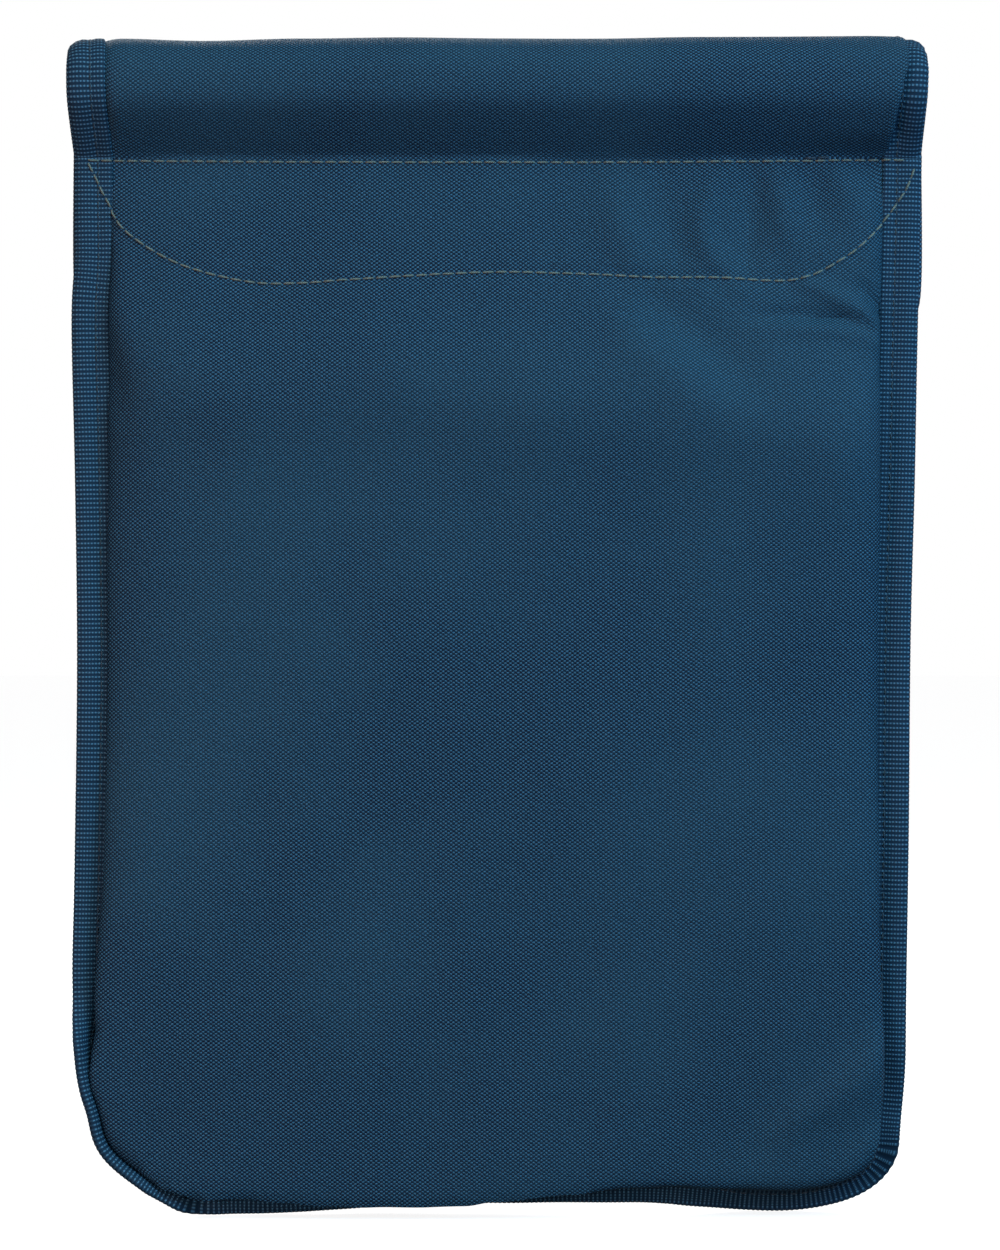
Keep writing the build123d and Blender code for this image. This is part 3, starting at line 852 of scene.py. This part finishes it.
def flap_edge():
    """The outer edge of the fold's and flap's binding, in cloth coordinates (x, s), from left to right."""
    turn = np.linspace(0, math.pi / 2, 16)
    left = [(-137.6, 0), (-138.1, 10), (-138.7, 24), (-138.9, 36), (-139.2, 46), (-139.5, 60), (-139.6, 90)]
    centre = HALF - FLAP_CORNER
    start = END_S - FLAP_CORNER
    arc = [(-centre - FLAP_CORNER * math.cos(a), start + FLAP_CORNER * math.sin(a)) for a in turn]
    right = [(137.7, 0), (138.0, 12), (138.6, 26), (138.9, 36), (138.9, 46), (139.2, 60), (139.5, 90)]
    across = [(-50, END_S + 0.3), (0, END_S - 0.2), (50, END_S + 0.3)]
    mirrored = [(-x, s) for x, s in reversed(arc)]
    return smooth_path(left + arc[::3] + across + mirrored[::3] + right[::-1], STEP)


rim = flap_edge()
rim_s = lengths(rim)
rim_in = inward(rim, -1)
rim_end = rim_s[-1]


def rim_keys(left, right):
    """Keys along the rim: left ones are places from its left end, right ones back from its right end."""
    return left + [(rim_end - back, value) for back, value in right]


# How the fold's and the flap's binding leans and curls along its edge, in degrees
RIM_TILT = rim_keys(
    [(0, 0), (14, 2), (34, 0)],
    [(CREST_S + 36, 0), (CREST_S + 14, -4), (CREST_S - 4, -4), (38, 8), (30, 14), (14, 12), (0, 0)],
)
RIM_CURL = rim_keys(
    [(0, 4), (14, 0), (33, -8), (41, -44), (CREST_S, -88), (CREST_S + 14, -50), (CREST_S + 36, -8)],
    [
        (CREST_S + 36, -8), (CREST_S + 14, -50), (CREST_S, -88), (40, -58), (30, -40), (20, -24), (6, -6),
        (0, 2),
    ],
)
# How far the cloth beside that binding stands up, and how far it hangs over it
RIM_PUFF = rim_keys(
    [(0, 0.3), (20, 1.3), (38, 0.9), (CREST_S, 0.2), (CREST_S + 40, 0.25)],
    [(CREST_S + 36, 0.25), (CREST_S, 0.3), (42, 1.6), (34, 3.2), (12, 3.2), (0, 0.6)],
)
RIM_LIP = rim_keys(
    [(0, 0.0), (20, 0.2), (CREST_S, 0.0)],
    [
        (CREST_S + 20, 0.0), (CREST_S, 2.2), (43, 4.6), (38, 5.8), (32, 5.6), (25, 4.0), (17, 2.8), (6, 1.8),
        (0, 0.6),
    ],
)
# How far the tape and the cloth under it sink below the fold's face
RIM_SINK = rim_keys(
    [(0, 0.0), (16, 0.5), (38, 0.4), (CREST_S, 0.5), (CREST_S + 20, 0.0)],
    [(CREST_S + 20, 0.0), (CREST_S, 0.2), (38, 2.0), (12, 1.8), (0, 0.0)],
)
rim_tilt = np.radians(keyed(rim_s, RIM_TILT))
rim_curl = np.radians(keyed(rim_s, RIM_CURL))
rim_seam = rim + rim_in * reach(rim_tilt, rim_curl)[:, None]
rim_out = rim_seam - rim_in * TUCK
FLAP_GAP = 0.78
STACK_MIDDLE = 0.72  # the middle of cloth and facing, below the cloth's face


def rim_frames():
    """Where the rim's tape starts, and the directions out of and up from the cloth there."""
    origin, along, up = on_fold(rim_seam[:, 0], rim_seam[:, 1], STACK_MIDDLE + keyed(rim_s, RIM_SINK))
    out = -(rim_in[:, :1] * X_AXIS + rim_in[:, 1:] * along)
    return origin, out, up


# ---- outer cloth: back, fold and flap

CLOTH_STEP = 1.7
# The back slopes out from the yoke row to this height, and falls straight below it: (x, z)
SHOULDER = [
    (-140, 292), (-126, 286), (-108, 270), (-80, 265), (-40, 270), (0, 264), (40, 261), (80, 257),
    (128, 250), (140, 250),
]
KNEE = 18.0  # how sharply the slope ends
SHOULDER_PUFF = 0.26  # how much fuller than below the back is there
FRONT_ROUND = 6.3

u = graded(250.0, CLOTH_STEP)
v = graded(330.0, CLOTH_STEP, both=False)
back_patch = pouch_patch(SEAM_TOP, u, v)
shoulder = keyed(back_patch[..., 0], SHOULDER)
slope = (SEAM_TOP - back_patch[..., 1]) / (SEAM_TOP - shoulder)
top_fade = 1 - np.log1p(np.exp(KNEE * (1 - slope))) / KNEE
top_fade = top_fade * (1 - 0.35 * bell(slope / 0.12))
top_fade = top_fade + SHOULDER_PUFF * bell((back_patch[..., 1] - shoulder - 4.0) / 23.0)
back_lip = edge_reach - keyed(edge_s, BACK_SHOWS)
back_push = hang_for(np.maximum(back_lip, LEAST_LIP)) * keyed(back_lip, [(-2.4, 0), (LEAST_LIP, 1)])
back_round = keyed(edge_s, BACK_ROUND)
back_points = swell(back_patch, -1, BACK_FACE - PLY, back_push, back_round, top_fade, back_creases, 0.06)

half_rim = len(rim_out) // 2
left_rim = rim_out[:half_rim]
right_rim = rim_out[half_rim:][::-1]
flap_start = FLAP_TOP_S + 8.0
fold_rows = np.concatenate([np.linspace(0.8, 5.0, 6), np.linspace(6.2, flap_start, 58)])[:, None]
fold_left, fold_right = (np.interp(fold_rows, side[:, 1], side[:, 0]) for side in (left_rim, right_rim))
fold_x = fold_left + u * (fold_right - fold_left)
fold_grid = vectors(fold_x, fold_rows)

mid_left = corner(rim_in, rim_s, 100, rim_s[half_rim - 1])
mid_right = corner(rim_in, rim_s, rim_s[half_rim], rim_end - 100)


def flap_patch(u, v, start):
    """The flap below a row at start, as a grid of (x, s) down to its end."""
    sides = (rim_out[: mid_left + 1], rim_out[mid_right:][::-1])
    left, right = (at_shares(side[side[:, 1] >= start], v) for side in sides)
    bottom = at_shares(rim_out[mid_left : mid_right + 1], u)
    top = left[0] + (right[0] - left[0]) * u[:, None]
    return coons(top, bottom, left, right, u, v)


flap_grid = flap_patch(u, np.linspace(0, 1, 52), flap_start)
upper_grid = np.concatenate([fold_grid, flap_grid[1:]])


def puffed(grid, inset):
    """The fold's and flap's cloth, which swells a little beside its binding and hangs over it."""
    puff, shift = np.zeros((2,) + grid.shape[:2])
    sides = ((-1, 0, left_rim, rim_s[:half_rim]), (1, -1, right_rim, rim_s[half_rim:][::-1]))
    for way, column, line, place in sides:
        d = np.maximum(np.abs(grid[..., 0] - grid[:, [column], 0]) - TUCK, 0)
        along = np.interp(grid[:, column, 1], line[:, 1], place)
        puff += keyed(along, RIM_PUFF)[:, None] * (1 - np.exp(-d / 1.8)) * bell(d / 24.0)
        puff -= keyed(along, RIM_SINK)[:, None] * bell(d / 2.5)
        shift += way * hang_for(keyed(along, RIM_LIP))[:, None] * lip_shape(d) * (inset == 0.0)
    points, _, up = on_fold(grid[..., 0], grid[..., 1], inset)
    return points + up * puff[..., None] + X_AXIS * shift[..., None]


upper_points = puffed(upper_grid, 0.0)
outer_points = np.concatenate([back_points, upper_points])
outer_flat = np.concatenate([back_points[..., [0, 2]], upper_grid + np.array([0, SEAM_TOP])])
outer_weave = threads(outer_points, outer_flat)
SLOT = ((0, 0.0, 8.5), (2, 287.0, 4.5))  # the hole for the staple: axis, middle and half size


def cells_kept(points):
    """False for a sheet's cells in front of the bag that reach into the slot for the staple."""
    low = np.minimum(points[:-1, :-1], points[1:, 1:])
    high = np.maximum(points[:-1, :-1], points[1:, 1:])
    inside = low[..., 1] > hinge[1]
    for axis, middle, half in SLOT:
        inside = inside & (high[..., axis] > middle - half) & (low[..., axis] < middle + half)
    return ~inside


outer = sheet_piece(
    "outer_cloth", outer_points, outer_weave, SKIN, 1, cloth_material, cells_kept(outer_points)
)
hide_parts("back_panel", "flap_panel")

# ---- bindings

edge_origin = vectors(seam[:, 0], seam_sway, seam[:, 1])
edge_out = vectors(-edge_in[:, 0], 0, -edge_in[:, 1])
edge_up = vectors(0 * edge_s, -1, 0)
OVERLAP = 3  # how many steps the side tape runs on behind the fold's own tape
overlap_rise = STEP * np.arange(OVERLAP, 0, -1)[:, None] * np.array([0.0, 0.0, 1.0])


def run_on(values):
    """Values along the bag's edge, held for the steps by which the tape is longer at both ends."""
    return np.concatenate([np.repeat(values[:1], OVERLAP, 0), values, np.repeat(values[-1:], OVERLAP, 0)])


long_origin = run_on(edge_origin)
long_origin[:OVERLAP] += overlap_rise
long_origin[-OVERLAP:] += overlap_rise[::-1]
edge_tape, long_points = tape_piece(
    "edge_tape", long_origin, run_on(edge_out), run_on(edge_up), run_on(tilt), run_on(curl), GAP
)
edge_points = long_points[OVERLAP:-OVERLAP]
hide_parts("edge_binding")
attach(edge_tape, "pouch")

rim_origin, rim_outward, rim_up = rim_frames()
rim_tape, rim_points = tape_piece(
    "fold_and_flap_tape", rim_origin, rim_outward, rim_up, rim_tilt, rim_curl, FLAP_GAP
)
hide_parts("fold_binding", "flap_binding")

# ---- front panel

front_v = graded(325.0, 4.0, both=False)
front_patch = pouch_patch(MOUTH_TOP, u, front_v)
front_push = hang_for(keyed(edge_s, FRONT_LIP))
front_fill = np.full(len(edge), FRONT_ROUND)
front_points = swell(front_patch, 1, FRONT_FACE - PLY, front_push, front_fill, 1.0, front_creases, 0.0)
front_weave = threads(front_points, front_points[..., [0, 2]])
front = sheet_piece("front_cloth", front_points, front_weave, SKIN, -1, cloth_material)
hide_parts("front_panel")
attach(front, "pouch")

# ---- facing

def tree_of(*pieces):
    """One search tree over the faces of several pieces, in millimetres."""
    points, faces = [], []
    for piece in pieces:
        first = len(points)
        points += [vertex.co / MM for vertex in piece.data.vertices]
        faces += [[first + i for i in face.vertices] for face in piece.data.polygons]
    return BVHTree.FromPolygons(points, faces)


def dropped(tree, places, side):
    """Points (x, z) dropped on a tree's faces from the back (-1) or the front (1), with the normals there."""
    hits, normals = [], []
    for x, z in places:
        hit, normal, _, _ = tree.ray_cast(Vector((x, side * 80.0, z)), Vector((0, -side, 0)))
        hits.append(hit if hit else (hits[-1] if hits else Vector((x, 0.0, z))))
        normals.append(normal if hit else Vector((0, side, 0)))
    return np.array(hits), unit(np.array(normals))


MOON_MARGIN = 3.0  # how far the facing runs on past its stitches
FACING_ROWS = 12

back_tree = tree_of(outer)
facing_left, facing_right = upper_grid[0, 0, 0], upper_grid[0, -1, 0]
facing_x = facing_left + u * (facing_right - facing_left)
facing_foot = np.interp(facing_x, moon[:, 0], moon[:, 1]) - MOON_MARGIN
facing_z = facing_foot + np.linspace(0, 1, FACING_ROWS)[:, None] * (SEAM_TOP - facing_foot)
moon_patch = vectors(facing_x, facing_z)
moon_points = dropped(back_tree, moon_patch.reshape(-1, 2), -1)[0].reshape(facing_z.shape + (3,))
moon_points = moon_points + np.array([0, CLOTH, 0])
upper_inside = puffed(upper_grid, CLOTH)
facing_points = np.concatenate([moon_points, upper_inside])
facing_flat = np.concatenate([moon_patch, upper_grid + np.array([0, SEAM_TOP])])
facing_weave = threads(facing_points, facing_flat)
facing = sheet_piece(
    "facing", facing_points, facing_weave, FACING, 1, facing_material,
    cells_kept(facing_points),
)
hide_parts("yoke_facing", "flap_facing")

# ---- mouth binding

mouth_low, mouth_high = node_box("mouth_binding")
MOUTH_GAP = 0.4
mouth_x = np.arange(mouth_low[0], mouth_high[0], STEP)
top_row = front_points[-1]
mouth_y = np.interp(mouth_x, top_row[:, 0], top_row[:, 1]) - MOUTH_GAP
mouth_z = mouth_high[2] - TAPE_WIDTH + 0.25 * np.sin(mouth_x / 23.0)
mouth_origin = vectors(mouth_x, mouth_y, mouth_z)
mouth_up = unit(vectors(-np.gradient(mouth_y, mouth_x), 1, 0))
straight = np.zeros(len(mouth_x))
mouth_out = vectors(straight, 0, 1)
mouth_curl = straight + 0.02
mouth_tape, mouth_points = tape_piece(
    "mouth_tape", mouth_origin, mouth_out, mouth_up, straight, mouth_curl, MOUTH_GAP
)
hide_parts("mouth_binding")
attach(mouth_tape, "pouch")

# ---- rows of stitches

# A row's pitch, how much of it a stitch fills, and the thread's radius, material and slot
TONE = (3.4, 0.78, 0.24, tone_thread, "tone_thread")
BOX_TONE = (3.0, 0.78, 0.24, tone_thread, "tone_thread")
CONTRAST = (4.3, 0.9, 0.35, contrast_thread, "contrast_thread")
BACK_TONE = (4.3, 0.9, 0.35, tone_thread, "tone_thread")


def tape_stitches(name, points):
    """Rows of tone stitches down both faces of a tape."""
    face, other = seen_row(points)
    across = unit(face - other)
    sides = (("face", face, across), ("back", other, -across))
    return [stitches(f"{name}_{side}", row, way, *TONE) for side, row, way in sides]


edge_stitches = tape_stitches("edge_stitches", edge_points)
rim_stitches = tape_stitches("rim_stitches", rim_points)
mouth_stitches = tape_stitches("mouth_stitches", mouth_points)
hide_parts("binding_thread")
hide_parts("flap_thread")
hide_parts("mouth_thread")
for piece in edge_stitches + mouth_stitches:
    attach(piece, "pouch")

seen_from_back = tree_of(outer, edge_tape, rim_tape)


def back_row(name, places, kind):
    """A row of long stitches along (x, z) places on the back of the bag."""
    path, normal = dropped(seen_from_back, places, -1)
    row = stitches(name, path, normal, *kind)
    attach(row, "pouch")
    return row


YOKE_ROW = [
    (-133.2, 342.6), (-115, 342.3), (-60, 342.0), (0, 341.9), (60, 342.1), (105, 342.4), (127, 342.6),
    (135.6, 342.3),
]
BACK_TACK = [(99.5, 343.3), (108.6, 343.5)]
yoke_row = back_row("yoke_row", smooth_path(YOKE_ROW, 0.5), CONTRAST)
back_row("half_moon_row", moon, CONTRAST)
back_row("back_tack", smooth_path(BACK_TACK, 0.5), BACK_TONE)
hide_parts("yoke_thread")

# ---- hook and loop

PATCH_CORNER = 2.0
STITCH_EDGE = 2.5  # how far in from a patch's edge its stitches are
PATCH_SPACE = 50.0  # the space between the two patches of a pair, for the closure


def pile_patch(name, low, high, side, pile, seed, material):
    """A rectangle of hook or loop tape, its pile facing side along Y, with a flat woven edge."""
    draws = np.random.default_rng(seed)
    gx, gz = np.meshgrid(np.linspace(low[0], high[0], 150), np.linspace(low[2], high[2], 64))
    middle, half = (low + high) / 2, (high - low) / 2
    out_x, out_z = np.abs(gx - middle[0]), np.abs(gz - middle[2])
    from_edge = np.minimum(half[0] - out_x, half[2] - out_z)
    nap = pile * (0.55 + 0.45 * draws.random(gx.shape)) * np.clip((from_edge - 0.8) / 0.8, 0, 1)
    foot = high[1] if side < 0 else low[1]
    top = foot + side * (high[1] - low[1] - pile + nap)
    corner_x = np.clip(out_x - half[0] + PATCH_CORNER, 0, None)
    corner_z = np.clip(out_z - half[2] + PATCH_CORNER, 0, None)
    pull = np.clip(1 - PATCH_CORNER / np.maximum(np.hypot(corner_x, corner_z), 1e-6), 0, None)
    gx = gx - np.sign(gx - middle[0]) * corner_x * pull
    gz = gz - np.sign(gz - middle[2]) * corner_z * pull
    upper, lower = (vectors(gx, y, gz) for y in (top, foot))
    return slab(name, upper, lower, vectors(gx, gz), -side, material)


def box_row(name, low, high, y, side):
    """A rectangle of tone stitches, facing side along Y."""
    x0, x1 = low[0] + STITCH_EDGE, high[0] - STITCH_EDGE
    z0, z1 = low[2] + STITCH_EDGE, high[2] - STITCH_EDGE
    corners = np.array([(x0, y, z0), (x1, y, z0), (x1, y, z1), (x0, y, z1), (x0, y, z0)], float)
    path = at_lengths(corners, np.arange(0, lengths(corners)[-1], 0.5))
    return stitches(name, path, vectors(0 * path[:, 0], side, 0), *BOX_TONE)


PAIRS = (("loop", "pouch", 1, 0.5, loop_material), ("hook", "flap", -1, 0.6, hook_material))
for kind, body, side, pile, material in PAIRS:
    low, high = node_box(f"{kind}_patches")
    width = (high[0] - low[0] - PATCH_SPACE) / 2
    for label, start_x in (("left", low[0]), ("right", high[0] - width)):
        one_low, one_high = low.copy(), high.copy()
        one_low[0], one_high[0] = start_x, start_x + width
        patch = pile_patch(f"{kind}_patch_{label}", one_low, one_high, side, pile, 7 + side, material)
        y = one_high[1] - pile if side > 0 else one_low[1] + pile
        row = box_row(f"{kind}_stitches_{label}", one_low, one_high, y, side)
        if kind == "hook":
            through = box_row(f"flap_stitches_{label}", one_low, one_high, FLAP_FACE, 1)
        else:
            through = box_row(f"front_stitches_{label}", one_low, one_high, FRONT_FACE - CLOTH, -1)
        for piece in (patch, row, through):
            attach(piece, body)
        if label == "left":
            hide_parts(f"{kind}_patches")
            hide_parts(f"{kind}_thread")

# ---- steel fittings

STAPLE = ("staple_base", "staple_backing", "staple_rivets", "turn_staple")
EYELET = ("eyelet_face", "eyelet_back", "eyelet_rivets")
for name in STAPLE + EYELET:
    frame["nodes"][name].material_slots[0].material = steel_material

# ---- stage, camera and lights

def white_floor():
    """A plain white floor that runs out past the horizon and sends no light back up."""
    shader = Shader("floor")
    white = (1, 1, 1, 1)
    shader.set(Base_Color=(0.3, 0.3, 0.3, 1), Roughness=0.9, Emission_Color=white, Emission_Strength=0.86)
    half = 12000.0  # millimetres
    corners = [(-half, -half, 0), (half, -half, 0), (half, half, 0), (-half, half, 0)]
    floor = new_piece("floor", np.array(corners), [(0, 1, 2, 3)], shader.material)
    floor.visible_diffuse = False
    floor.visible_glossy = False


def soft_light(name, place, target, size, power, colour=(1, 1, 1)):
    """A square soft box that faces a point."""
    light = bpy.data.lights.new(name, "AREA")
    light.energy = power
    light.color = colour
    light.size = size
    lamp = bpy.data.objects.new(name, light)
    lamp.location = place
    lamp.rotation_euler = (Vector(target) - Vector(place)).to_track_quat("-Z", "Y").to_euler()
    bpy.context.scene.collection.objects.link(lamp)


def pale_world():
    """A studio's surroundings: white at eye level, dimmer overhead, below and to the left."""
    world = bpy.data.worlds.new("studio")
    bpy.context.scene.world = world
    world.use_nodes = True
    nodes, link = world.node_tree.nodes, world.node_tree.links.new
    split, ramp = nodes.new("ShaderNodeSeparateXYZ"), nodes.new("ShaderNodeValToRGB")
    lift, side = nodes.new("ShaderNodeMath"), nodes.new("ShaderNodeMapRange")
    strength, ray = nodes.new("ShaderNodeMath"), nodes.new("ShaderNodeLightPath")
    lift.operation = "MULTIPLY_ADD"
    lift.inputs[1].default_value = 0.5
    lift.inputs[2].default_value = 0.5
    side.interpolation_type = "SMOOTHSTEP"
    for socket, value in zip(side.inputs[1:], (-0.75, -0.1, 0.34, 0.76)):
        socket.default_value = value
    strength.operation = "MAXIMUM"
    link(nodes.new("ShaderNodeTexCoord").outputs["Generated"], split.inputs[0])
    link(split.outputs[2], lift.inputs[0])
    link(lift.outputs[0], ramp.inputs[0])
    link(split.outputs[0], side.inputs[0])
    link(side.outputs[0], strength.inputs[0])
    link(ray.outputs["Is Camera Ray"], strength.inputs[1])
    link(ramp.outputs[0], nodes["Background"].inputs[0])
    link(strength.outputs[0], nodes["Background"].inputs[1])
    stops = ramp.color_ramp.elements
    stops[0].position, stops[0].color = 0.40, (0.09, 0.09, 0.09, 1)
    stops[1].position, stops[1].color = 0.66, (0.45, 0.45, 0.46, 1)
    for position in (0.43, 0.60):
        stops.new(position).color = (1, 1, 1, 1)


middle = Vector((0.0008, 0.0, 0.1917))
view_height = 0.40625  # how much of the bag's plane the picture's height takes in
camera_data = bpy.data.cameras.new("camera")
camera_data.lens = 100
camera = bpy.data.objects.new("camera", camera_data)
camera.location = middle - Vector((0, view_height * camera_data.lens / camera_data.sensor_width, 0))
camera.rotation_euler = (math.pi / 2, 0, 0)
bpy.context.scene.collection.objects.link(camera)
bpy.context.scene.camera = camera
bpy.context.scene.view_settings.view_transform = "Standard"

white_floor()
pale_world()
soft_light("top_light", (0.9, -1.45, 2.05), (0.0, 0.0, 0.2), 1.2, 50, (0.61, 1.0, 1.02))
soft_light("left_light", (-0.75, -0.7, 0.2), (-0.1, 0.0, 0.2), 0.4, 3.7, (1.0, 0.42, 0.34))
soft_light("right_light", (0.62, -0.6, 0.45), (0.1, 0.0, 0.3), 0.35, 3.8, (0.12, 0.58, 1.05))
soft_light("low_light", (-0.3, -0.6, 0.08), (-0.06, 0.0, 0.05), 0.15, 0.75, (0.6, 1.0, 1.05))
soft_light("back_light", (-0.3, 1.3, 1.0), (0.0, 0.0, 0.2), 1.0, 16)

# ---- finish

# Bake each of these pieces' placement into its mesh: the outer cloth, the facing, and the fold's and flap's
# tape and stitches
for piece in [outer, facing, rim_tape] + rim_stitches:
    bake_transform(piece)
